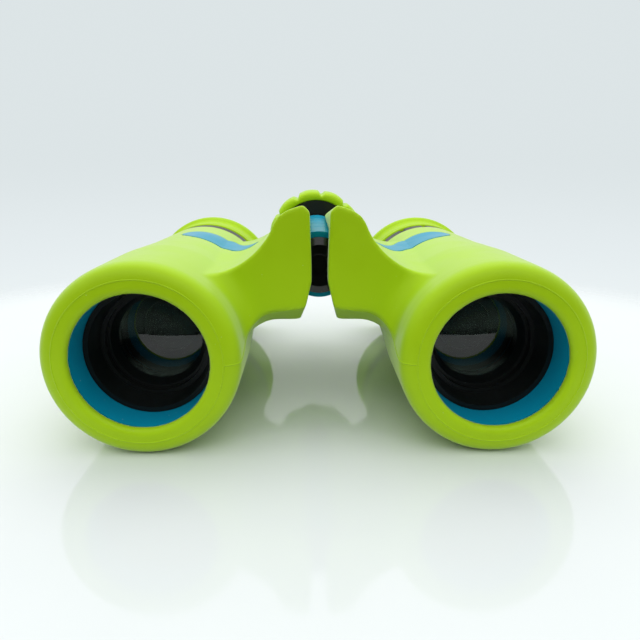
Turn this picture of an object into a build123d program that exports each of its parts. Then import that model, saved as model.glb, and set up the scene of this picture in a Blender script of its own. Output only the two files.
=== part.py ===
from build123d import *
from math import atan2, cos, degrees, radians, sin, sqrt, tan
import os

os.makedirs("parts", exist_ok=True)

# Compact roof-prism binocular with centre focusing, in millimetres, at rest on a table.
# X runs across the two barrels, +Y towards the eyes, +Z up. The origin is on the table, under
# the middle of the object. A "station" is a distance behind the front of the objective rings.

# Barrels
axis_spacing = 68.0          # between the two optical axes, as it stands
bore_radius = 13.3           # housing bore
housing_wall = 2.2
ring_rubber = 3.5            # rubber over the housing at the objective ring
waist_rubber = 2.7           # behind the ring
tail_rubber = 2.2            # in front of the collar
barrel_length = 78.0         # armoured part of a barrel
collar_length = 5.0          # turning or fixed collar behind the armour
collar_gap = 1.4             # collar to eyecup, which leaves room for the dioptre travel
eyecup_length = 12.6
ring_straight = 24.0         # full-size part of the ring before the waist
waist_station = 44.0
mouth_lip = 0.1              # rubber lip inside the bore
mouth_bevel = 0.6
lip_flat = 2.0               # width of the ring's flat front, with the bevel
lip_round = 5.0              # depth over which the ring rounds back to its full size
lip_depth = 2.0              # rubber lip in front of the housing

# Hinge and arms
hinge_rise = 15.5            # hinge axis above the optical axes
knuckle_radius = 7.0
axle_radius = 4.0
knuckle_length = 7.5
knuckle_count = 4            # they alternate, left barrel first
running_gap = 0.3            # between neighbours that turn against each other
turning_fit = 0.05           # radial clearance of a shaft in its bore
sliding_fit = 0.1            # radial clearance of a tube in its bore
hinge_clearance = 0.4        # armour and webs round the knuckles
wing_station = 12.0          # flat front face of the arms
wing_thickness = 5.5         # rubber in front of the hinge
wing_crest = 12.9            # top of the wing above the hinge axis, at its front
tail_crest = 7.9             # the same, at the back of the arm
half_gap = 1.65              # half the slot between the two arms, level with the hinge
crest_half_gap = 2.0         # the same, at the crest
crest_bevel = 1.3            # bevel of the crest at the slot
relief_angle = 13.0          # lower part of the slot, which opens for folding
arm_floor = 12.5             # underside of the arm, below the hinge axis
front_floor = 7.4            # lower edge of the wing's front face, below the hinge axis
floor_slope = 10.0           # length of the slanted face under the wing
wing_root = 4.0              # concave radius where the wing leaves the ring
web_cover = 2.2              # rubber over the arm's inner web

# Focusing
focus_travel = 1.875         # each way
wheel_gap = 2.9              # arms to wheel
sleeve_bore = 5.5
sleeve_length = 10.5
spool_radius = 5.2
spool_groove = 3.6
spool_length = 4.0
drive_thickness = 2.4
drive_width = 5.0
fold_down = 15.0             # degrees that each barrel folds inwards
fold_up = 7.5                # degrees that each barrel opens outwards
spindle_radius = 2.0
wheel_radius = 13.5
wheel_length = 13.3
wheel_hub_radius = 10.8
wheel_lobes = 11
wheel_phase = 7.0            # degrees from the top to the first groove
lobe_groove = 1.1
wheel_bevel = 1.4

# Optics
lens_radius = 9.8
cell_radius = bore_radius - sliding_fit
cell_station = 8.7           # front rim of the objective cell
cell_length = 18.1
seat_depth = 9.3             # glass seat behind the cell's front rim
prism_height = 14.0
prism_width = 14.0
prism_gap = 0.5
prism_station = 38.5
cage_wall = 2.0
field_radius = 10.2
eye_radius = 8.6
grinding_allowance = 1.0     # lens blank beyond the apex of a convex face
dioptre_travel = 1.0         # each way

# Coloured band on the shoulder and strap lug
band_station = 52.0
lug_reach = 5.0              # beyond the armour
lug_length = 9.0
lug_height = 4.0
lug_hole = 1.6
lug_hole_reach = 2.4         # hole centre beyond the armour
lug_setback = 8.0            # lug's middle in front of the armour's end

housing_radius = bore_radius + housing_wall
ring_radius = housing_radius + ring_rubber
waist_radius = housing_radius + waist_rubber
tail_radius = housing_radius + tail_rubber
mouth_radius = bore_radius - mouth_lip
lip_flat_radius = mouth_radius + lip_flat
lug_station = barrel_length - lug_setback
overall_length = barrel_length + collar_length + collar_gap + eyecup_length
hinge_height = ring_radius + hinge_rise
barrel_x = axis_spacing / 2
sleeve_station = wing_station + wing_thickness + 2.0
knuckle_start = sleeve_station + sleeve_length + running_gap
knuckle_pitch = knuckle_length + running_gap
arm_end = knuckle_start + knuckle_count * knuckle_pitch
wheel_station = arm_end + wheel_gap
arm_angle = degrees(atan2(hinge_rise, barrel_x))
hinge_distance = sqrt(barrel_x**2 + hinge_rise**2)
spool_station = sleeve_station + 5.0
neck_end = barrel_length + collar_length - 0.5
eyecup_station = barrel_length + collar_length + collar_gap
hinge_axis = Axis((0, 0, hinge_height), (0, 1, 0))
SIDES = (("left", -1), ("right", 1))


def world_y(station):
    return station - overall_length / 2


def cross_plane(station):
    """Upright plane across the object: sketch x is X and sketch y is Z, extrusion runs forwards."""
    return Plane(origin=(0, world_y(station), 0), x_dir=(1, 0, 0), z_dir=(0, -1, 0))


def barrel_plane(side):
    """Lengthwise plane through an optical axis: sketch x is the station, sketch y the radius."""
    return Plane(
        origin=(side * barrel_x, world_y(0), ring_radius), x_dir=(0, 1, 0), z_dir=(1, 0, 0)
    )


def barrel_axis(side):
    return Axis((side * barrel_x, 0, ring_radius), (0, 1, 0))


hinge_plane = Plane(origin=(0, world_y(0), hinge_height), x_dir=(0, 1, 0), z_dir=(1, 0, 0))


def save(part, label):
    part.label = label
    export_step(part, f"parts/{label}.step")


def turned(outline, plane, axis):
    """A turned piece from its outline of (station, radius) points."""
    with BuildPart() as piece:
        with BuildSketch(plane):
            with BuildLine():
                Polyline(*outline, close=True)
            make_face()
        revolve(axis=axis)
    return piece.part


def ring(front, back, inner, outer):
    return [(front, inner), (front, outer), (back, outer), (back, inner)]


def lens(side, front_apex, front_edge, back_edge, back_apex, radius):
    """A lens ground from a blank: stations of its two apexes and of the edges of its faces."""
    blank_front = front_edge if front_apex >= front_edge else front_apex - grinding_allowance
    blank_back = back_edge if back_apex <= back_edge else back_apex + grinding_allowance
    with BuildPart() as glass:
        with BuildSketch(cross_plane(blank_front)):
            with Locations((side * barrel_x, ring_radius)):
                Circle(radius)
        extrude(amount=blank_front - blank_back)
        for apex, edge, facing in ((front_apex, front_edge, 1), (back_apex, back_edge, -1)):
            if apex != edge:
                bulge = facing * (edge - apex)
                curve = (radius**2 + bulge**2) / (2 * bulge)
                cut = Mode.INTERSECT if bulge > 0 else Mode.SUBTRACT
                with Locations((side * barrel_x, world_y(apex + facing * curve), ring_radius)):
                    Sphere(abs(curve), mode=cut)
    return glass.part


# ---- the arms ---------------------------------------------------------------------------------
# One cross-section of an arm, from the slot at the hinge into the barrel. The crest is the top
# beside the slot, the floor its underside. Both are given above or below the hinge axis.


def arm_section(side, station, crest, floor, arch):
    relief = (floor - 2.5) * tan(radians(relief_angle))
    crest_z = hinge_height + crest
    floor_z = hinge_height - floor
    valley = (barrel_x - 13.9, ring_radius + 15.2)
    shoulder = (9.8, crest_z - 0.4 * crest)
    flank = ((valley[0] + shoulder[0]) / 2, (valley[1] + shoulder[1]) / 2 - 0.14 * crest)
    crest_side = crest_half_gap + crest_bevel
    top = [(barrel_x - 8.5, ring_radius + 15.4), valley, flank, shoulder, (crest_side, crest_z)]
    with BuildSketch(cross_plane(station)) as section:
        with BuildLine():
            Spline(
                *[(side * x, z) for x, z in top],
                tangents=[(-side, 0.0), (-side, 0.25)],
            )
            Polyline(
                (side * crest_side, crest_z),
                (side * crest_half_gap, crest_z - crest_bevel),
                (side * half_gap, hinge_height + 1.0),
                (side * half_gap, hinge_height - 2.5),
                (side * (half_gap + relief), floor_z),
            )
            Spline(
                (side * (half_gap + relief), floor_z),
                (side * (barrel_x - 23.5), floor_z - 0.3 * arch),
                (side * (barrel_x - 16.5), ring_radius - 3.0),
                tangents=[(side, -0.12 * arch), (side * 0.6, -1.0)],
            )
            Polyline(
                (side * (barrel_x - 16.5), ring_radius - 3.0),
                (side * (barrel_x - 8.5), ring_radius - 3.0),
                (side * (barrel_x - 8.5), ring_radius + 15.4),
            )
        make_face()
    return section.sketch


def arm_crest(station):
    """The crest falls evenly from the front of the wing to the back of the arm."""
    share = (station - wing_station) / (arm_end - wing_station)
    return wing_crest + share * (tail_crest - wing_crest)


# ---- outer form of one barrel with its arm, solid inside ----------------------------------------


def wing_fillet(side):
    """The concave root between the objective ring and the wing's front face."""
    with BuildPart() as root:
        with BuildSketch(barrel_plane(side)):
            with BuildLine():
                Polyline(
                    (wing_station - wing_root, ring_radius),
                    (wing_station - wing_root, ring_radius - 1.0),
                    (wing_station, ring_radius - 1.0),
                    (wing_station, ring_radius + wing_root),
                )
                RadiusArc(
                    (wing_station, ring_radius + wing_root),
                    (wing_station - wing_root, ring_radius),
                    wing_root,
                )
            make_face()
        revolve(axis=barrel_axis(side))
        outline = arm_section(side, wing_station, wing_crest, front_floor, 4.0)
        extrude(outline, amount=wing_root + 1.0, mode=Mode.INTERSECT)
    return root.part


def barrel_form(side):
    heel = wing_station + floor_slope
    sections = [
        arm_section(side, wing_station, wing_crest, front_floor, 4.0),
        arm_section(side, heel, arm_crest(heel), arm_floor, 1.0),
        arm_section(side, arm_end, tail_crest, arm_floor, 1.0),
    ]
    with BuildPart() as arm:
        loft(sections=[section.face() for section in sections], ruled=True)
    with BuildPart() as form:
        with BuildSketch(barrel_plane(side)):
            with BuildLine():
                Line((0, 0), (0, lip_flat_radius))
                TangentArc((lip_round, ring_radius), (0, lip_flat_radius), tangent=(-1, 0))
                Polyline(
                    (lip_round, ring_radius),
                    (ring_straight, ring_radius),
                    (waist_station, waist_radius),
                    (barrel_length, tail_radius),
                    (barrel_length, 0),
                    (0, 0),
                )
            make_face()
        revolve(axis=barrel_axis(side))
        add(arm.part)
        add(wing_fillet(side))
    return form.part


def band_prism(side):
    """Upright prism over the plan outline of the coloured S-shaped band on the shoulder."""

    def spot(from_axis, along):
        return side * (barrel_x - from_axis), world_y(band_station + along)

    outer_tip = spot(-2.0, 3.0)
    inner_tip = spot(18.8, -3.5)
    with BuildPart() as prism:
        with BuildSketch(Plane.XY.offset(hinge_height - knuckle_radius)):
            with BuildLine():
                Spline(outer_tip, spot(4.0, 10.5), spot(9.7, 9.0), spot(13.6, 1.5), inner_tip)
                Spline(outer_tip, spot(4.0, -3.7), spot(10.0, -5.8), spot(14.0, -9.6), inner_tip)
            make_face()
        extrude(amount=ring_radius)
    return prism.part


def drive_bar(side, width, inner, outer, front, back):
    """Flat bar from one optical axis towards the hinge, between two radii round that axis."""
    tilt = radians(arm_angle)
    middle = (inner + outer) / 2
    centre = (side * (barrel_x - middle * cos(tilt)), ring_radius + middle * sin(tilt))
    with BuildPart() as bar:
        with BuildSketch(cross_plane(front)):
            with Locations(centre):
                Rectangle(outer - inner, width, rotation=-side * arm_angle)
        extrude(amount=front - back)
    return bar.part


def drive_channel(side):
    reach = drive_thickness / 2 + focus_travel + hinge_clearance
    return drive_bar(
        side,
        drive_width + 2 * hinge_clearance,
        bore_radius - 1.0,
        hinge_distance - knuckle_radius,
        spool_station - reach,
        spool_station + reach,
    )


# ---- housing: tube, arm web, knuckles, drive channel, band and strap lug -------------------------


def make_housing(side, form):
    web_floor = hinge_height - arm_floor + web_cover
    web = [
        (3.2, hinge_height + 3.0),
        (3.2, hinge_height - 3.0),
        (4.6, web_floor),
        (barrel_x - 22.0, web_floor),
        (barrel_x - 10.0, ring_radius - 3.0),
        (barrel_x - 8.0, ring_radius + 12.0),
        (barrel_x - 18.5, ring_radius + 13.0),
        (8.5, hinge_height + 3.0),
    ]
    root = [(2.0, -5.5), (11.0, -8.5), (11.0, 1.5), (2.0, 5.5)]
    clear = knuckle_radius + hinge_clearance
    first = 0 if side < 0 else 1
    with BuildPart() as band:
        add(form)
        add(band_prism(side), mode=Mode.INTERSECT)
    with BuildPart() as housing:
        with BuildSketch(cross_plane(sleeve_station)):
            with BuildLine():
                Polyline(*[(side * x, z) for x, z in web], close=True)
            make_face()
        extrude(amount=sleeve_station + web_cover - arm_end)
        with BuildSketch(barrel_plane(side)):
            with BuildLine():
                Polyline(*ring(lip_depth, neck_end, 0, housing_radius), close=True)
            make_face()
        revolve(axis=barrel_axis(side))
        add(band.part)
        with BuildSketch(hinge_plane):
            with BuildLine():
                Polyline(*ring(wing_station, arm_end, 0, clear), close=True)
            make_face()
        revolve(axis=hinge_axis, mode=Mode.SUBTRACT)
        for turn in range(first, knuckle_count, 2):
            with BuildSketch(cross_plane(knuckle_start + turn * knuckle_pitch)):
                with BuildLine():
                    Polyline(*[(side * x, hinge_height + z) for x, z in root], close=True)
                make_face()
                with Locations((0, hinge_height)):
                    Circle(knuckle_radius)
                    Circle(axle_radius + turning_fit, mode=Mode.SUBTRACT)
            extrude(amount=-knuckle_length)
        lug_width = lug_reach + tail_radius - bore_radius
        with BuildSketch(Plane.XY.offset(ring_radius - lug_height / 2)):
            with Locations((side * (barrel_x + bore_radius + lug_width / 2), world_y(lug_station))):
                RectangleRounded(lug_width, lug_length, 2.4)
        extrude(amount=lug_height)
        hole_x = side * (barrel_x + tail_radius + lug_hole_reach)
        with Locations((hole_x, world_y(lug_station), ring_radius)):
            Cylinder(lug_hole, 2 * lug_height, mode=Mode.SUBTRACT)
        with BuildSketch(barrel_plane(side)):
            with BuildLine():
                Polyline(*ring(0, overall_length, 0, bore_radius), close=True)
            make_face()
        revolve(axis=barrel_axis(side), mode=Mode.SUBTRACT)
        add(drive_channel(side), mode=Mode.SUBTRACT)
    return housing.part


def make_armour(side, form, housing):
    clear = knuckle_radius + hinge_clearance
    with BuildPart() as armour:
        add(form)
        add(housing, mode=Mode.SUBTRACT)
        with BuildSketch(hinge_plane):
            with BuildLine():
                Polyline(*ring(wing_station + wing_thickness, arm_end + 1, 0, clear), close=True)
            make_face()
        revolve(axis=hinge_axis, mode=Mode.SUBTRACT)
        with BuildSketch(barrel_plane(side)):
            with BuildLine():
                Polyline(
                    (-1, 0),
                    (-1, mouth_radius + mouth_bevel),
                    (0, mouth_radius + mouth_bevel),
                    (mouth_bevel, mouth_radius),
                    (lip_depth, mouth_radius),
                    (lip_depth, bore_radius),
                    (overall_length, bore_radius),
                    (overall_length, 0),
                    close=True,
                )
            make_face()
        revolve(axis=barrel_axis(side), mode=Mode.SUBTRACT)
        add(drive_channel(side), mode=Mode.SUBTRACT)
    return armour.part


for name, side in SIDES:
    form = barrel_form(side)
    housing = make_housing(side, form)
    save(housing, f"{name}_housing")
    save(make_armour(side, form, housing), f"{name}_armour")


# ---- objective cells, which slide in the housings, with their doublets and drive arms ------------

seat = cell_station + seat_depth
crown_edge = seat + 0.2
crown_bulge = 0.8
cement = crown_edge + 1.2    # edge of the cemented face
cement_bulge = 1.2
doublet_end = seat + 4.8


def make_drive_arm(side):
    front = spool_station - drive_thickness / 2
    fork = spool_groove + 0.15
    blank = drive_bar(
        side, drive_width, cell_radius - 2.0, hinge_distance, front, front + drive_thickness
    )
    with BuildPart() as arm:
        add(blank)
        with BuildSketch(cross_plane(front)):
            with Locations((0, hinge_height)):
                Circle(fork)
        extrude(amount=-drive_thickness, mode=Mode.SUBTRACT)
    return arm.part


for name, side in SIDES:
    drive_arm = make_drive_arm(side)
    with BuildPart() as cell:
        add(
            turned(
                [
                    (cell_station, cell_radius - 1.0),
                    (cell_station, cell_radius),
                    (cell_station + cell_length, cell_radius),
                    (cell_station + cell_length, 11.0),
                    (doublet_end + 0.8, lens_radius - 0.8),
                    (doublet_end, lens_radius - 0.8),
                    (doublet_end, lens_radius),
                    (seat, lens_radius),
                    (seat, lens_radius + 0.8),
                    (seat - 4.0, lens_radius + 0.8),
                    (seat - 4.0, lens_radius + 1.6),
                ],
                barrel_plane(side),
                barrel_axis(side),
            )
        )
        add(drive_arm, mode=Mode.SUBTRACT)
    save(cell.part, f"{name}_objective_cell")
    save(drive_arm, f"{name}_drive_arm")
    retainer = turned(
        [
            (seat - 2.2, lens_radius + 0.2),
            (seat - 2.2, lens_radius + 0.8),
            (seat, lens_radius + 0.8),
            (seat, lens_radius - 0.85),
        ],
        barrel_plane(side),
        barrel_axis(side),
    )
    save(retainer, f"{name}_objective_retainer")
    crown = lens(
        side, crown_edge - crown_bulge, crown_edge, cement, cement + cement_bulge, lens_radius
    )
    save(crown, f"{name}_crown_lens")
    flint = lens(side, cement + cement_bulge, cement, doublet_end, doublet_end, lens_radius)
    save(flint, f"{name}_flint_lens")


# ---- roof prisms, in line, in a cage across the housing bore -------------------------------------

cage_length = 16.5


def prism_solid(side, outline):
    with BuildPart() as prism:
        with BuildSketch(barrel_plane(side)):
            with BuildLine():
                Polyline(*outline, close=True)
            make_face()
        extrude(amount=prism_width / 2, both=True)
    return prism.part


for name, side in SIDES:
    with BuildPart() as cage:
        with BuildSketch(cross_plane(prism_station - cage_wall)):
            with Locations((side * barrel_x, ring_radius)):
                Circle(bore_radius)
        extrude(amount=-cage_length)
        with BuildSketch(cross_plane(prism_station)):
            with Locations((side * barrel_x, ring_radius)):
                Rectangle(prism_width, 3 * bore_radius)
        extrude(amount=-cage_length, mode=Mode.SUBTRACT)
        with Locations((side * barrel_x, world_y(prism_station), ring_radius)):
            Cylinder(prism_height / 2, 4 * cage_wall, rotation=(90, 0, 0), mode=Mode.SUBTRACT)
    save(cage.part, f"{name}_prism_cage")

    half = prism_height / 2
    slant = prism_height / sqrt(2)
    penta = [
        (prism_station, half),
        (prism_station, -half),
        (prism_station + 7.0, -9.9),
        (prism_station + slant, half - slant),
    ]
    save(prism_solid(side, penta), f"{name}_half_pentaprism")
    corner = (prism_station + 0.7 + prism_gap, half - 0.7 - prism_gap / 2)
    leg = 1.14 * prism_height
    foot = (corner[0] + leg / sqrt(2), corner[1] - leg / sqrt(2))
    schmidt = [corner, foot, (foot[0], foot[1] + leg)]
    save(prism_solid(side, schmidt), f"{name}_roof_prism")


# ---- eyepieces: tube, two lenses, retainer, eyecup and collar -------------------------------------

eyepiece_station = barrel_length - 12.0
field_seat = eyepiece_station + 7.0
eye_seat = eyecup_station + 0.4
eye_back = eye_seat + 4.2
tube_end = eye_back + 2.4
eyecup_seat = bore_radius - 1.3
eyecup_body = tail_radius + 0.1

for name, side in SIDES:
    plane, axis = barrel_plane(side), barrel_axis(side)
    tube = turned(
        [
            (eyepiece_station, field_radius),
            (eyepiece_station, bore_radius - sliding_fit),
            (eyecup_station - 0.8, bore_radius - sliding_fit),
            (eyecup_station - 0.8, eyecup_seat),
            (tube_end, eyecup_seat),
            (tube_end, eye_radius + 1.0),
            (eye_back, eye_radius + 1.0),
            (eye_back, eye_radius),
            (eye_seat, eye_radius),
            (eye_seat, eye_radius - 0.6),
            (eye_seat - 0.8, eye_radius - 0.6),
            (eye_seat - 0.8, field_radius - 0.8),
            (field_seat, field_radius - 0.8),
            (field_seat, field_radius),
        ],
        plane,
        axis,
    )
    save(tube, f"{name}_eyepiece_tube")
    field_lens = lens(
        side, field_seat - 4.4, field_seat - 4.4, field_seat - 2.0, field_seat, field_radius
    )
    save(field_lens, f"{name}_field_lens")
    eye_lens = lens(side, eye_seat, eye_seat + 1.0, eye_back, eye_back, eye_radius)
    save(eye_lens, f"{name}_eye_lens")
    save(
        turned(ring(eye_back, tube_end - 0.4, eye_radius - 1.2, eye_radius + 1.0), plane, axis),
        f"{name}_eyepiece_retainer",
    )
    save(
        turned(
            [
                (eyecup_station, eyecup_seat),
                (eyecup_station, eyecup_body),
                (overall_length - 3.6, eyecup_body),
                (overall_length - 2.8, ring_radius),
                (overall_length - 1.0, ring_radius),
                (overall_length, ring_radius - 1.0),
                (overall_length, ring_radius - 4.5),
                (tube_end, eyecup_seat - 1.0),
                (tube_end, eyecup_seat),
            ],
            plane,
            axis,
        ),
        f"{name}_eyecup",
    )

save(
    turned(
        ring(barrel_length, neck_end + 0.5, housing_radius, tail_radius - 0.2),
        barrel_plane(-1),
        barrel_axis(-1),
    ),
    "left_collar",
)
with BuildPart() as dioptre_ring:
    add(
        turned(
            ring(
                barrel_length + 0.2,
                neck_end + 0.5,
                housing_radius + sliding_fit,
                tail_radius - 0.2,
            ),
            barrel_plane(1),
            barrel_axis(1),
        )
    )
    with BuildSketch(cross_plane(barrel_length)):
        with Locations((barrel_x, ring_radius)):
            with PolarLocations(tail_radius + 0.2, 16):
                Circle(0.9)
    extrude(amount=-2 * collar_length, mode=Mode.SUBTRACT)
save(dioptre_ring.part, "right_dioptre_ring")


# ---- hinge core: sleeve, cap, axle and end washer -------------------------------------------------

sleeve_floor = 1.2
axle_start = sleeve_station + sleeve_length - sleeve_floor
washer_length = 1.2
window_angle = arm_angle + (fold_down - fold_up) / 2
window_width = (
    drive_width
    + 2 * knuckle_radius * sin(radians((fold_down + fold_up) / 2))
    + 2 * hinge_clearance
)
window_reach = drive_thickness / 2 + focus_travel + hinge_clearance

with BuildPart() as sleeve:
    with BuildSketch(hinge_plane):
        with BuildLine():
            Polyline(
                (sleeve_station, sleeve_bore),
                (sleeve_station, knuckle_radius),
                (sleeve_station + sleeve_length, knuckle_radius),
                (sleeve_station + sleeve_length, axle_radius),
                (axle_start, axle_radius),
                (axle_start, sleeve_bore),
                close=True,
            )
        make_face()
    revolve(axis=hinge_axis)
    for name, side in SIDES:
        reach = 0.9 * knuckle_radius
        tilt = radians(window_angle)
        spot = (side * reach * cos(tilt), hinge_height - reach * sin(tilt))
        with BuildSketch(cross_plane(spool_station - window_reach)):
            with Locations(spot):
                Rectangle(0.8 * knuckle_radius, window_width, rotation=-side * window_angle)
        extrude(amount=-2 * window_reach, mode=Mode.SUBTRACT)
save(sleeve.part, "hinge_sleeve")

cap_front = sleeve_station - 1.6
cap_radius = sleeve_bore + 0.4
save(
    turned(
        [
            (cap_front + 0.3, 0),
            (cap_front + 0.3, 1.3),
            (cap_front + 0.7, 1.6),
            (cap_front + 0.7, 2.2),
            (cap_front, 2.6),
            (cap_front, 4.4),
            (cap_front + 0.6, cap_radius),
            (sleeve_station, cap_radius),
            (sleeve_station, sleeve_bore),
            (sleeve_station + 1.0, sleeve_bore),
            (sleeve_station + 1.0, 0),
        ],
        hinge_plane,
        hinge_axis,
    ),
    "hinge_cap",
)
save(
    turned(
        ring(axle_start, arm_end + washer_length, spindle_radius + running_gap, axle_radius),
        hinge_plane,
        hinge_axis,
    ),
    "hinge_axle",
)
save(
    turned(
        ring(arm_end, arm_end + washer_length, axle_radius, knuckle_radius - 0.1),
        hinge_plane,
        hinge_axis,
    ),
    "hinge_washer",
)


# ---- focusing drive: spindle, spool, wheel -------------------------------------------------------

wheel_end = wheel_station + wheel_length
hub_end = wheel_end - 2.2
groove_half = drive_thickness / 2 + sliding_fit
spool_half = spool_length / 2

save(
    turned(
        ring(sleeve_station + 1.5, hub_end, 0, spindle_radius), hinge_plane, hinge_axis
    ),
    "focus_spindle",
)
save(
    turned(
        [
            (spool_station - spool_half, spindle_radius + turning_fit),
            (spool_station - spool_half, spool_radius),
            (spool_station - groove_half, spool_radius),
            (spool_station - groove_half, spool_groove),
            (spool_station + groove_half, spool_groove),
            (spool_station + groove_half, spool_radius),
            (spool_station + spool_half, spool_radius),
            (spool_station + spool_half, spindle_radius + turning_fit),
        ],
        hinge_plane,
        hinge_axis,
    ),
    "focus_spool",
)
save(
    turned(
        [
            (wheel_station, spindle_radius),
            (wheel_station, wheel_hub_radius),
            (wheel_end - 1.0, wheel_hub_radius),
            (wheel_end - 1.0, 6.0),
            (hub_end, 6.0),
            (hub_end, spindle_radius),
        ],
        hinge_plane,
        hinge_axis,
    ),
    "focus_wheel_core",
)
save(
    turned(
        [
            (hub_end, 0),
            (hub_end, 6.0),
            (wheel_end - 0.8, 6.0),
            (wheel_end, 5.0),
            (wheel_end, 0),
        ],
        hinge_plane,
        hinge_axis,
    ),
    "focus_wheel_cap",
)
with BuildPart() as grip:
    with BuildSketch(hinge_plane):
        with BuildLine():
            Polyline(
                (wheel_station, wheel_hub_radius),
                (wheel_station, wheel_radius - wheel_bevel),
                (wheel_station + wheel_bevel, wheel_radius),
                (wheel_end - wheel_bevel, wheel_radius),
                (wheel_end, wheel_radius - wheel_bevel),
                (wheel_end, wheel_hub_radius),
                close=True,
            )
        make_face()
    revolve(axis=hinge_axis)
    with BuildSketch(cross_plane(wheel_station)):
        with Locations((0, hinge_height)):
            with PolarLocations(wheel_radius + 0.2, wheel_lobes, start_angle=90 - wheel_phase):
                Circle(lobe_groove)
    extrude(amount=-wheel_length, mode=Mode.SUBTRACT)
save(grip.part, "focus_wheel_grip")
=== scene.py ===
from math import cos, pi, radians, sin, sqrt

import bmesh
import bpy
from mathutils import Matrix, Vector
from mathutils.bvhtree import BVHTree


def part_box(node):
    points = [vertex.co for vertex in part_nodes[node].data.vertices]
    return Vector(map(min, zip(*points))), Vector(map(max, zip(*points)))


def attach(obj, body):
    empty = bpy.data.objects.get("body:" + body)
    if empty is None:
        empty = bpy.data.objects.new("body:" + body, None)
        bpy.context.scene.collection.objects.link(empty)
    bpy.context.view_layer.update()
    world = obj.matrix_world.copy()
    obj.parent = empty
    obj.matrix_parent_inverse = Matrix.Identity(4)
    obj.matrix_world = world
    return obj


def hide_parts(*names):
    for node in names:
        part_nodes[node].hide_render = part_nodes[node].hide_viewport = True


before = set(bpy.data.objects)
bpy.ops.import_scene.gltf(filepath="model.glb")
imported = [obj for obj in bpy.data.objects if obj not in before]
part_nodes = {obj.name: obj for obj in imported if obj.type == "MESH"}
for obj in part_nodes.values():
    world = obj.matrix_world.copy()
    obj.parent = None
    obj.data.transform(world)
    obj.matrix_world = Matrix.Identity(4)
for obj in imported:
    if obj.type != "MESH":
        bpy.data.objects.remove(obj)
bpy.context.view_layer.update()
view_layer = bpy.context.view_layer
MM = 0.001


# ---- Camera ------------------------------------------------------------------------------------
# A wide camera close in front of the objective rings, a little above them and to the left of the
# hinge, tipped down so that both mouths and the tops of the barrels are seen.

eye_point = Vector((-2.37, -152.05, 54.72)) * MM
tip_down, turn_right, lean = radians(14.73), radians(1.20), radians(0.19)
looking = Vector(
    (sin(turn_right) * cos(tip_down), cos(turn_right) * cos(tip_down), -sin(tip_down))
)
level = Vector((cos(turn_right), -sin(turn_right), 0.0))
upright = level.cross(looking)
camera_right = cos(lean) * level + sin(lean) * upright
camera_up = cos(lean) * upright - sin(lean) * level

camera_data = bpy.data.cameras.new("camera")
camera_data.sensor_width = 36.0
camera_data.lens = 33.0
camera_data.clip_start = 0.005
camera_data.clip_end = 10.0
camera = bpy.data.objects.new("camera", camera_data)
camera.matrix_world = Matrix.Translation(eye_point) @ Matrix(
    (camera_right, camera_up, -looking)
).transposed().to_4x4()
bpy.context.scene.collection.objects.link(camera)
bpy.context.scene.camera = camera
bpy.context.scene.view_settings.view_transform = "Standard"


# ---- Table top, room and lights ----------------------------------------------------------------
# A sheet of smooth white acrylic under a soft overhead light tent. The tent is open towards the
# viewer, so the room in front of the object is dark, and the sheet ends in a straight front edge.


def wire(tree, kind, sockets=(), **settings):
    """Adds a node, sets its settings, and sets or links its sockets, given as (socket, value)."""
    made = tree.nodes.new(kind)
    for name, value in settings.items():
        setattr(made, name, value)
    for name, value in sockets:
        if isinstance(value, bpy.types.NodeSocket):
            tree.links.new(value, made.inputs[name])
        else:
            made.inputs[name].default_value = value
    return made


def remap(tree, value, low, high, to_low=0.0, to_high=1.0):
    """A smooth step of a value from one range to another."""
    return wire(
        tree,
        "ShaderNodeMapRange",
        [
            ("Value", value),
            ("From Min", low),
            ("From Max", high),
            ("To Min", to_low),
            ("To Max", to_high),
        ],
        interpolation_type="SMOOTHSTEP",
    ).outputs["Result"]


def blended(tree, share, first, second):
    """Colour mixed from the first to the second by a share."""
    return wire(
        tree, "ShaderNodeMix", [(0, share), (6, first), (7, second)], data_type="RGBA"
    ).outputs[2]


def maths(tree, operation, *values):
    return wire(
        tree, "ShaderNodeMath", list(enumerate(values)), operation=operation
    ).outputs[0]


def finish_named(name):
    """A new material with an empty Principled shader, and its node tree."""
    material = bpy.data.materials.new(name)
    material.use_nodes = True
    tree = material.node_tree
    return material, tree, tree.nodes["Principled BSDF"]


sheet_half_width = 260 * MM
sheet_front = -104 * MM
sheet_back = 260 * MM
fade_start = 135 * MM        # distance from the middle at which the sheet begins to fade out
fade_end = 185 * MM
acrylic_ior = 1.49
sheet_mesh = bpy.data.meshes.new("table_sheet")
sheet_mesh.from_pydata(
    [
        (-sheet_half_width, sheet_front, 0),
        (sheet_half_width, sheet_front, 0),
        (sheet_half_width, sheet_back, 0),
        (-sheet_half_width, sheet_back, 0),
    ],
    [],
    [(0, 1, 2, 3)],
)
table_sheet = bpy.data.objects.new("table_sheet", sheet_mesh)
bpy.context.scene.collection.objects.link(table_sheet)

acrylic, tree, shader = finish_named("white_acrylic")
place = wire(tree, "ShaderNodeNewGeometry").outputs["Position"]
mottle = wire(tree, "ShaderNodeTexNoise", [("Vector", place), ("Scale", 45.0), ("Detail", 3.0)])
tree.links.new(
    blended(tree, mottle.outputs["Fac"], (0.74, 0.77, 0.775, 1), (0.77, 0.795, 0.80, 1)),
    shader.inputs["Base Color"],
)
smear = wire(tree, "ShaderNodeTexNoise", [("Vector", place), ("Scale", 160.0), ("Detail", 4.0)])
tree.links.new(
    remap(tree, smear.outputs["Fac"], 0.3, 0.7, 0.05, 0.10), shader.inputs["Roughness"]
)
from_middle = wire(
    tree, "ShaderNodeVectorMath", [(0, place)], operation="LENGTH"
).outputs["Value"]
tree.links.new(
    remap(tree, from_middle, fade_start, fade_end, 1.0, 0.0), shader.inputs["Alpha"]
)
shader.inputs["IOR"].default_value = acrylic_ior
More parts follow.
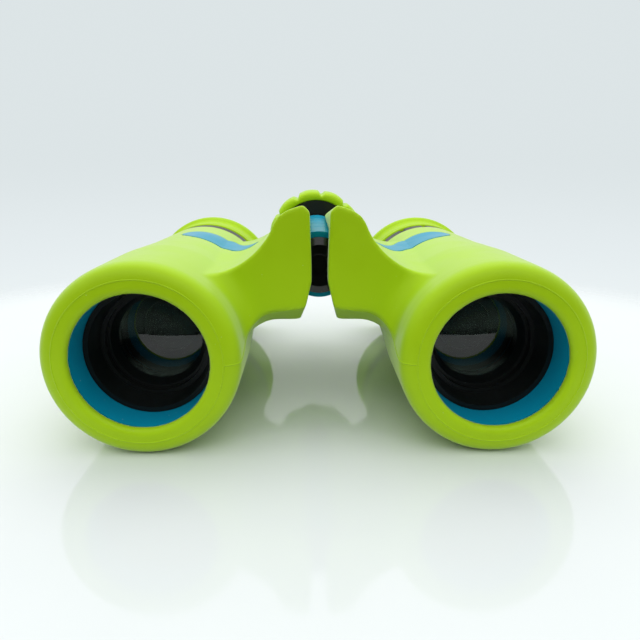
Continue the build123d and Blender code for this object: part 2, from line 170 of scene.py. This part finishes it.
sheet_mesh.materials.append(acrylic)

room = bpy.data.worlds.new("light_tent")
room.use_nodes = True
bpy.context.scene.world = room
tree = room.node_tree
tree.nodes.clear()
heading = wire(tree, "ShaderNodeTexCoord").outputs["Generated"]
compass = wire(tree, "ShaderNodeSeparateXYZ", [(0, heading)])
height = compass.outputs["Z"]
backdrop = blended(
    tree,
    remap(tree, height, -0.26, -0.12),
    (0.86, 0.925, 0.93, 1),
    blended(
        tree, remap(tree, height, -0.17, 0.02), (0.80, 0.86, 0.88, 1), (0.72, 0.78, 0.795, 1)
    ),
)
tent_wall = blended(
    tree,
    remap(tree, compass.outputs["Y"], -0.25, 0.25),
    (0.012, 0.014, 0.013, 1),
    (0.95, 0.99, 1.0, 1),
)
tent = blended(tree, remap(tree, height, 0.12, 0.45), tent_wall, (1.10, 1.13, 1.13, 1))
seen = wire(tree, "ShaderNodeLightPath").outputs["Is Camera Ray"]
glow = wire(tree, "ShaderNodeBackground", [("Color", blended(tree, seen, tent, backdrop))])
output = wire(tree, "ShaderNodeOutputWorld")
tree.links.new(glow.outputs["Background"], output.inputs["Surface"])


def soft_light(name, place, target, width, length, watts):
    """A square-cornered area lamp at a place in metres, turned towards a target."""
    lamp = bpy.data.lights.new(name, "AREA")
    lamp.shape = "RECTANGLE"
    lamp.size = width
    lamp.size_y = length
    lamp.energy = watts
    holder = bpy.data.objects.new(name, lamp)
    aim = (Vector(target) - Vector(place)).normalized()
    facing = aim.to_track_quat("-Z", "Y").to_matrix().to_4x4()
    holder.matrix_world = Matrix.Translation(Vector(place)) @ facing
    bpy.context.scene.collection.objects.link(holder)


soft_light("overhead_light", (0.0, 0.12, 0.55), (0, 0, 0), 0.5, 0.4, 0.70)
soft_light("front_light", (0.0, -0.42, 0.50), (0, 0, 0.02), 0.6, 0.2, 0.42)


# ---- Housings ----------------------------------------------------------------------------------
# Two hard blue ABS tubes, each injection moulded in one piece with its hinge arm, knuckles, strap
# lug and the S-shaped colour band that comes up flush with the rubber on the shoulder.


def dress(material, *names):
    """Puts a material on every slot of CAD nodes."""
    for name in names:
        mesh = part_nodes[name].data
        if not mesh.materials:
            mesh.materials.append(material)
        for slot in range(len(mesh.materials)):
            mesh.materials[slot] = material


def both(*names):
    return [f"{side}_{name}" for name in names for side in ("left", "right")]


def moulded_skin():
    """Group: the slight flow marks, fine mould grain and settled dust of an injection moulding."""
    group = bpy.data.node_groups.new("moulded_skin", "ShaderNodeTree")
    inlets = (
        ("Colour", "NodeSocketColor"),
        ("Flow", "NodeSocketFloat"),
        ("Grain Scale", "NodeSocketFloat"),
        ("Dust", "NodeSocketFloat"),
        ("Gloss Low", "NodeSocketFloat"),
        ("Gloss High", "NodeSocketFloat"),
    )
    for name, kind in inlets:
        group.interface.new_socket(name, in_out="INPUT", socket_type=kind)
    outlets = (
        ("Colour", "NodeSocketColor"),
        ("Roughness", "NodeSocketFloat"),
        ("Height", "NodeSocketFloat"),
    )
    for name, kind in outlets:
        group.interface.new_socket(name, in_out="OUTPUT", socket_type=kind)
    given = wire(group, "NodeGroupInput").outputs
    place = wire(group, "ShaderNodeTexCoord").outputs["Object"]
    flow = wire(
        group,
        "ShaderNodeTexNoise",
        [("Vector", place), ("Scale", 110.0), ("Detail", 4.0), ("Distortion", 0.6)],
    ).outputs["Fac"]
    grain = wire(
        group,
        "ShaderNodeTexNoise",
        [("Vector", place), ("Scale", given["Grain Scale"]), ("Detail", 3.0), ("Roughness", 0.6)],
    ).outputs["Fac"]
    specks = wire(
        group, "ShaderNodeTexVoronoi", [("Vector", place), ("Scale", 900.0), ("Randomness", 1.0)]
    ).outputs["Distance"]
    patches = wire(
        group, "ShaderNodeTexNoise", [("Vector", place), ("Scale", 260.0), ("Detail", 2.0)]
    ).outputs["Fac"]
    dusty = maths(
        group,
        "MULTIPLY",
        remap(group, specks, 0.10, 0.04),
        maths(group, "MULTIPLY", remap(group, patches, 0.55, 0.68), given["Dust"]),
    )
    streak = maths(
        group, "MULTIPLY_ADD", maths(group, "SUBTRACT", flow, 0.5), given["Flow"], 1.0
    )
    shade = wire(
        group, "ShaderNodeHueSaturation", [("Color", given["Colour"]), ("Value", streak)]
    ).outputs["Color"]
    rough = maths(
        group,
        "ADD",
        wire(
            group,
            "ShaderNodeMapRange",
            [
                ("Value", flow),
                ("From Min", 0.3),
                ("From Max", 0.7),
                ("To Min", given["Gloss Low"]),
                ("To Max", given["Gloss High"]),
            ],
        ).outputs["Result"],
        maths(group, "MULTIPLY", dusty, 0.3),
    )
    out = wire(group, "NodeGroupOutput")
    group.links.new(blended(group, dusty, shade, (0.85, 0.88, 0.85, 1)), out.inputs["Colour"])
    group.links.new(rough, out.inputs["Roughness"])
    raised = maths(group, "ADD", grain, maths(group, "MULTIPLY", dusty, 1.5))
    group.links.new(raised, out.inputs["Height"])
    return group


skin = moulded_skin()


def moulded(
    name, colour, gloss, grain_scale, grain_depth, flow=0.12, dust=0.0, ior=1.5, metallic=0.0
):
    """A moulded finish: colour, lowest and highest roughness, and the grain's scale and depth."""
    material, tree, shader = finish_named(name)
    shader.inputs["IOR"].default_value = ior
    shader.inputs["Metallic"].default_value = metallic
    surface = wire(tree, "ShaderNodeGroup", node_tree=skin)
    for socket, value in (
        ("Colour", (*colour, 1)),
        ("Flow", flow),
        ("Grain Scale", grain_scale),
        ("Dust", dust),
        ("Gloss Low", gloss[0]),
        ("Gloss High", gloss[1]),
    ):
        surface.inputs[socket].default_value = value
    tree.links.new(surface.outputs["Colour"], shader.inputs["Base Color"])
    tree.links.new(surface.outputs["Roughness"], shader.inputs["Roughness"])
    bump = wire(
        tree,
        "ShaderNodeBump",
        [("Height", surface.outputs["Height"]), ("Distance", grain_depth * MM), ("Strength", 1.0)],
    )
    tree.links.new(bump.outputs["Normal"], shader.inputs["Normal"])
    return material


blue_plastic = moulded(
    "blue_plastic", (0.002, 0.29, 0.46), (0.28, 0.40), 2600.0, 0.012, dust=1.0, ior=1.22
)
dress(blue_plastic, *both("housing"))


# ---- Armour ------------------------------------------------------------------------------------
# Soft lime thermoplastic rubber, moulded over each housing as one skin with the wing at the hinge.
# Its edges are softly rounded, and thin lines of flash stand where the halves of the mould met.

lime = (0.40, 0.64, 0.003)
rubber_ior = 1.28
lime_rubber = moulded(
    "lime_rubber", lime, (0.38, 0.48), 3400.0, 0.016, flow=0.10, dust=0.25, ior=rubber_ior
)
rubber_shader = lime_rubber.node_tree.nodes["Principled BSDF"]
rubber_shader.inputs["Sheen Weight"].default_value = 0.32
rubber_shader.inputs["Sheen Roughness"].default_value = 0.4

skin_voxel = 0.36 * MM
soft_rounds = 12


def joined_copy(name, node):
    """A copy of a CAD node's mesh with its split corners joined."""
    mesh = part_nodes[node].data.copy()
    mesh.name = name
    work = bmesh.new()
    work.from_mesh(mesh)
    bmesh.ops.remove_doubles(work, verts=work.verts, dist=0.0005 * MM)
    work.to_mesh(mesh)
    work.free()
    piece = bpy.data.objects.new(name, mesh)
    bpy.context.scene.collection.objects.link(piece)
    return piece


def applied(piece):
    """Makes a piece's modifiers part of its mesh."""
    view_layer.update()
    finished = piece.evaluated_get(bpy.context.evaluated_depsgraph_get())
    solid = bpy.data.meshes.new_from_object(finished)
    piece.modifiers.clear()
    piece.data = solid
    solid.name = piece.name
    return piece


def painted(piece, material):
    piece.data.materials.clear()
    piece.data.materials.append(material)
    return piece


def smooth_shaded(piece):
    piece.data.polygons.foreach_set("use_smooth", [True] * len(piece.data.polygons))
    return piece


def softened(name, node, voxel, rounds):
    """A rubber piece: the CAD solid as a fine even mesh, its edges relaxed into soft rounds."""
    piece = joined_copy(name, node)
    remesh = piece.modifiers.new("even", "REMESH")
    remesh.mode = "VOXEL"
    remesh.voxel_size = voxel
    remesh.use_smooth_shade = True
    relax = piece.modifiers.new("relax", "SMOOTH")
    relax.factor = 0.5
    relax.iterations = rounds
    return smooth_shaded(applied(piece))


def axis_of(side):
    """The point where a barrel's optical axis meets the plane of the ring fronts."""
    low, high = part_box(f"{side}_objective_cell")
    return Vector(((low.x + high.x) / 2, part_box(f"{side}_armour")[0].y, (low.z + high.z) / 2))


def round_axis(side, station, radius, angle):
    """A point round an optical axis: mm back and out, and degrees from the inner side up."""
    inward = 1 if side == "left" else -1
    turn = radians(angle)
    return axis_of(side) + Vector((inward * radius * cos(turn), station, radius * sin(turn))) * MM


def bead(name, points, thickness, material, closed=False):
    """A fine raised line that follows points, as a curve with a round section."""
    line = bpy.data.curves.new(name, "CURVE")
    line.dimensions = "3D"
    line.bevel_depth = thickness / 2 * MM
    line.bevel_resolution = 3
    line.use_fill_caps = True
    run = line.splines.new("POLY")
    run.points.add(len(points) - 1)
    for spot, point in zip(run.points, points):
        spot.co = (*point, 1)
    run.use_cyclic_u = closed
    line.materials.append(material)
    piece = bpy.data.objects.new(name, line)
    bpy.context.scene.collection.objects.link(piece)
    return piece


def stroked(corners, gap):
    """Even points along straight runs between corners."""
    points = []
    for start, end in zip(corners, corners[1:]):
        count = max(1, round((end - start).length / (gap * MM)))
        points += [start.lerp(end, step / count) for step in range(count)]
    return points + [corners[-1]]


def laid_on(surface, points, sink):
    """Points moved onto a surface, and sunk a little into it."""
    laid = []
    for point in points:
        spot, normal, _, _ = surface.find_nearest(point)
        laid.append(spot - normal * sink * MM)
    return laid


ring_depth = 5.0             # of the ring's rounding, behind its front
ring_full = 19.0             # full radius of the ring
round_centre = 13.81         # radius of the rounding's centre
fullness = 3.4               # 2 is a plain round, more is fuller at the shoulder


def fuller_ring(piece, side):
    """Fills out the rounding of the ring's front, which is squarer than a plain round."""
    axis = axis_of(side)
    rise = ring_full - round_centre
    for vertex in piece.data.vertices:
        across = (vertex.co - axis) / MM
        radius = sqrt(across.x**2 + across.z**2)
        back, out = ring_depth - across.y, radius - round_centre
        if back <= 0 or out <= 0:
            continue
        reach = sqrt(back**2 + out**2)
        plain = min(rise, ring_depth * reach / back)
        along, aside = (back / ring_depth) ** fullness, (out / rise) ** fullness
        full = reach / (along + aside) ** (1 / fullness)
        grow = max(1.0, full / plain)
        widen = (round_centre + out * grow) / radius
        moved = Vector((across.x * widen, ring_depth - back * grow, across.z * widen))
        vertex.co = axis + moved * MM


flash_radius = 15.9          # of the parting line on the ring's front
seam_bead, seam_sink = 0.3, 0.05
inner_bead, inner_sink = 0.3, 0.03
outer_bead, outer_sink = 0.24, 0.04
wing_bead, wing_sink = 0.26, 0.03
inner_angle, outer_angle = -1, 197


def over_shoulder(side, angle):
    """The start of a flash line: from the parting line over the ring's rounding."""
    return [
        round_axis(side, 0.0, flash_radius, angle),
        round_axis(side, 0.6, 17.8, angle),
        round_axis(side, 2.2, 18.8, angle),
    ]


for side in ("left", "right"):
    armour = softened(f"{side}_rubber_armour", f"{side}_armour", skin_voxel, soft_rounds)
    fuller_ring(armour, side)
    painted(armour, lime_rubber)
    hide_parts(f"{side}_armour")
    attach(armour, f"{side}_barrel")
    surface = BVHTree.FromObject(armour, bpy.context.evaluated_depsgraph_get())
    circle = [round_axis(side, 0.2, flash_radius, turn * 1.5) for turn in range(240)]
    seam = bead(
        f"{side}_ring_parting_line",
        laid_on(surface, circle, seam_sink),
        seam_bead,
        lime_rubber,
        closed=True,
    )
    inner_run = stroked(
        over_shoulder(side, inner_angle)
        + [
            round_axis(side, 5.5, 19.2, 0.5),
            round_axis(side, 9.0, 19.2, 3),
            round_axis(side, 11.8, 18.4, 7),
        ],
        0.4,
    )
    inner_flash = bead(
        f"{side}_inner_flash", laid_on(surface, inner_run, inner_sink), inner_bead, lime_rubber
    )
    outer_run = stroked(
        over_shoulder(side, outer_angle)
        + [
            round_axis(side, 5.5, 19.2, outer_angle),
            round_axis(side, 40.0, 18.4, outer_angle),
            round_axis(side, 77.5, 17.7, outer_angle),
        ],
        0.8,
    )
    outer_flash = bead(
        f"{side}_outer_flash", laid_on(surface, outer_run, outer_sink), outer_bead, lime_rubber
    )
    wing_run = stroked(
        [
            round_axis(side, 9.0, 19.2, 3),
            round_axis(side, 11.5, 21.0, 8),
            round_axis(side, 12.0, 25.0, 12),
            round_axis(side, 12.0, 29.5, 15),
        ],
        0.4,
    )
    wing_flash = bead(
        f"{side}_wing_flash", laid_on(surface, wing_run, wing_sink), wing_bead, lime_rubber
    )
    for line in (seam, inner_flash, outer_flash, wing_flash):
        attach(line, f"{side}_barrel")


# ---- Objective cells ---------------------------------------------------------------------------
# Black polycarbonate cells that slide in the housings, moulded with a stepped cone, and a
# screwed-in ring that holds the glass. Both are taken from the CAD as they are.

black_plastic = moulded(
    "black_plastic", (0.004, 0.0055, 0.005), (0.34, 0.46), 2400.0, 0.02, dust=0.12, ior=1.38
)
dress(black_plastic, *both("objective_cell", "objective_retainer"))


# ---- Lenses and prisms -------------------------------------------------------------------------
# Cemented glass doublets with a thin green coating on the front face, and behind them the half
# pentaprism and roof prism that turn the picture upright, bedded in a moulded black cage. The
# coated glass is tinted dark green-grey and the prism glass nearly black: the green is the
# coating, and the darkness is painted shade standing in for the shaded inside of the barrels.


def glass(name, tint, ior):
    material, tree, shader = finish_named(name)
    shader.inputs["Transmission Weight"].default_value = 1.0
    shader.inputs["IOR"].default_value = ior
    place = wire(tree, "ShaderNodeTexCoord").outputs["Object"]
    film = wire(
        tree, "ShaderNodeTexNoise", [("Vector", place), ("Scale", 240.0), ("Detail", 5.0)]
    ).outputs["Fac"]
    tree.links.new(remap(tree, film, 0.35, 0.75, 0.0, 0.03), shader.inputs["Roughness"])
    paler = tuple(min(1.0, 1.04 * part) for part in tint)
    tree.links.new(blended(tree, film, (*tint, 1), (*paler, 1)), shader.inputs["Base Color"])
    return material


# Painted shade: the coated glass is tinted dark, so the lens reads dark like the shaded barrel
# inside.
coated_lens = glass("coated_lens", (0.16, 0.21, 0.18), 1.52)
lens_glass = glass("lens_glass", (0.92, 0.95, 0.93), 1.60)
# Painted shade: the prism glass is tinted nearly black in place of the shade inside the barrel.
prism_glass = glass("prism_glass", (0.05, 0.06, 0.055), 1.52)
dress(coated_lens, *both("crown_lens", "eye_lens"))
dress(lens_glass, *both("flint_lens", "field_lens"))
dress(prism_glass, *both("half_pentaprism", "roof_prism"))
dress(black_plastic, *both("prism_cage"))


# ---- Eyepieces ---------------------------------------------------------------------------------
# Black polycarbonate tubes turned into the backs of the housings, each with two lenses, of which
# the eye lens is held by a pressed ring.

dress(black_plastic, *both("eyepiece_tube", "eyepiece_retainer"))


# ---- Eyecups -----------------------------------------------------------------------------------
# Roll-down cups of softer lime rubber, moulded with a flared rim and one groove, and pushed over
# the ends of the eyepiece tubes.


def turned(name, centre, outline, material, segments=192):
    """A turned piece from a closed outline of (station, radius) in mm, round an axis along Y."""
    mesh = bpy.data.meshes.new(name)
    count = len(outline)
    points = []
    for step in range(segments):
        turn = 2 * pi * step / segments
        points += [
            centre + Vector((radius * cos(turn), station, radius * sin(turn))) * MM
            for station, radius in outline
        ]
    faces = [
        (
            step * count + spot,
            step * count + (spot + 1) % count,
            (step + 1) % segments * count + (spot + 1) % count,
            (step + 1) % segments * count + spot,
        )
        for step in range(segments)
        for spot in range(count)
    ]
    mesh.from_pydata(points, [], faces)
    work = bmesh.new()
    work.from_mesh(mesh)
    bmesh.ops.remove_doubles(work, verts=work.verts, dist=0.001 * MM)
    bmesh.ops.recalc_face_normals(work, faces=work.faces)
    work.to_mesh(mesh)
    work.free()
    piece = bpy.data.objects.new(name, mesh)
    bpy.context.scene.collection.objects.link(piece)
    return smooth_shaded(painted(piece, material))


def rounded(corners, steps=6):
    """A closed outline with its corners rounded: corners are (station, radius, rounding) in mm."""
    outline = []
    for spot, (along, out, rounding) in enumerate(corners):
        here = Vector((along, out))
        before = Vector(corners[spot - 1][:2]) - here
        after = Vector(corners[(spot + 1) % len(corners)][:2]) - here
        if rounding <= 0:
            outline.append((along, out))
            continue
        first = here + before.normalized() * min(rounding, before.length * 0.49)
        last = here + after.normalized() * min(rounding, after.length * 0.49)
        for step in range(steps + 1):
            share = step / steps
            bend = first.lerp(here, share).lerp(here.lerp(last, share), share)
            outline.append((bend.x, bend.y))
    return outline


lime_eyecup = moulded(
    "lime_eyecup", lime, (0.42, 0.52), 3000.0, 0.016, dust=0.25, ior=rubber_ior
)
cup_bore, cup_body, cup_flare = 12.0, 17.8, 19.0
for side, body in (("left", "left_barrel"), ("right", "right_eyepiece")):
    low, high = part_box(f"{side}_eyecup")
    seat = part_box(f"{side}_eyepiece_tube")[1].y
    centre = Vector(((low.x + high.x) / 2, low.y, (low.z + high.z) / 2))
    length = (high.y - low.y) / MM
    seat_depth = (seat - low.y) / MM
    eyecup = turned(
        f"{side}_rubber_eyecup",
        centre,
        rounded(
            [
                (0.0, cup_bore, 0),
                (0.0, cup_body, 0.6),
                (1.6, cup_body, 0.3),
                (2.1, cup_body - 0.45, 0.4),
                (2.6, cup_body, 0.4),
                (length - 4.2, cup_body, 1.2),
                (length - 3.0, cup_flare, 0.8),
                (length, cup_flare, 1.5),
                (length, 14.4, 1.8),
                (seat_depth + 2.2, 11.9, 1.6),
                (seat_depth, 11.0, 0.4),
                (seat_depth, cup_bore, 0),
            ]
        ),
        lime_eyecup,
    )
    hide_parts(f"{side}_eyecup")
    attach(eyecup, body)


# ---- Collar and dioptre ring -------------------------------------------------------------------
# Moulded black rings between the armour and the eyecups. The left one is fixed, and the ribbed
# right one turns to set the dioptre.

dress(black_plastic, "left_collar", "right_dioptre_ring")


# ---- Hinge core --------------------------------------------------------------------------------
# A moulded blue sleeve with a glossy black cap, on a steel axle with an end washer. Inside it a
# brass spool, turned by a steel spindle, moves the drive arms of both objective cells.

dress(blue_plastic, "hinge_sleeve")
black_gloss = moulded(
    "black_gloss", (0.004, 0.005, 0.005), (0.08, 0.16), 1200.0, 0.01, dust=0.5
)
dress(black_gloss, "hinge_cap")
steel = moulded("steel", (0.55, 0.56, 0.57), (0.25, 0.38), 1800.0, 0.01, metallic=1.0)
brass = moulded("brass", (0.62, 0.42, 0.14), (0.28, 0.40), 1800.0, 0.01, metallic=1.0)
dress(steel, "hinge_axle", "hinge_washer", "focus_spindle", *both("drive_arm"))
dress(brass, "focus_spool")


# ---- Focusing wheel ----------------------------------------------------------------------------
# A black moulded hub under a lime rubber tyre with eleven rounded lobes, and a blue end cap
# pressed into its back.

dress(black_plastic, "focus_wheel_core")
dress(blue_plastic, "focus_wheel_cap")
lime_wheel = moulded(
    "lime_wheel", lime, (0.40, 0.50), 3200.0, 0.016, dust=0.2, ior=rubber_ior
)
lobes = 11
first_groove = 7.0           # degrees from the top
groove_depth = 0.75
groove_width = 0.5
tyre_edge = 0.3              # thickness of the tyre at its ends


def lobed_tyre(name, node):
    """The tyre: rounded lobes between narrow grooves, crowned along its width."""
    low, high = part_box(node)
    centre = Vector(((low.x + high.x) / 2, low.y, (low.z + high.z) / 2))
    width = (high.y - low.y) / MM
    full = (high.x - low.x) / 2 / MM
    bore = (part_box("focus_wheel_core")[1].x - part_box("focus_wheel_core")[0].x) / 2 / MM
    around, crown = lobes * 32, 24
    mesh = bpy.data.meshes.new(name)
    points = []
    for step in range(around):
        turn = 2 * pi * step / around
        from_groove = (turn - radians(first_groove)) / (2 * pi / lobes) % 1.0 - 0.5
        to_groove = (0.5 - abs(from_groove)) * 2 * pi / lobes * full
        for spot in range(crown + 1):
            lean = pi * spot / crown
            along = 0.5 - 0.5 * (abs(cos(lean)) ** 0.42) * (1 if cos(lean) > 0 else -1)
            puff = sin(lean) ** 0.42
            near = 1 - min(1.0, (to_groove / (groove_width * 2)) ** 1.3)
            groove = groove_depth * near * (0.35 + 0.65 * puff)
            belly = 0.5 * (2 * from_groove) ** 2
            edge = bore + tyre_edge
            out = edge + (full - edge - groove - belly) * puff
            points.append(centre + Vector((out * sin(turn), along * width, out * cos(turn))) * MM)
        points.append(centre + Vector((bore * sin(turn), 0.97 * width, bore * cos(turn))) * MM)
        points.append(centre + Vector((bore * sin(turn), 0.03 * width, bore * cos(turn))) * MM)
    count = crown + 3
    faces = [
        (
            step * count + spot,
            (step + 1) % around * count + spot,
            (step + 1) % around * count + (spot + 1) % count,
            step * count + (spot + 1) % count,
        )
        for step in range(around)
        for spot in range(count)
    ]
    mesh.from_pydata(points, [], faces)
    work = bmesh.new()
    work.from_mesh(mesh)
    bmesh.ops.recalc_face_normals(work, faces=work.faces)
    work.to_mesh(mesh)
    work.free()
    piece = bpy.data.objects.new(name, mesh)
    bpy.context.scene.collection.objects.link(piece)
    return smooth_shaded(piece)


tyre = painted(lobed_tyre("lobed_tyre", "focus_wheel_grip"), lime_wheel)
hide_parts("focus_wheel_grip")
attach(tyre, "focus_wheel")
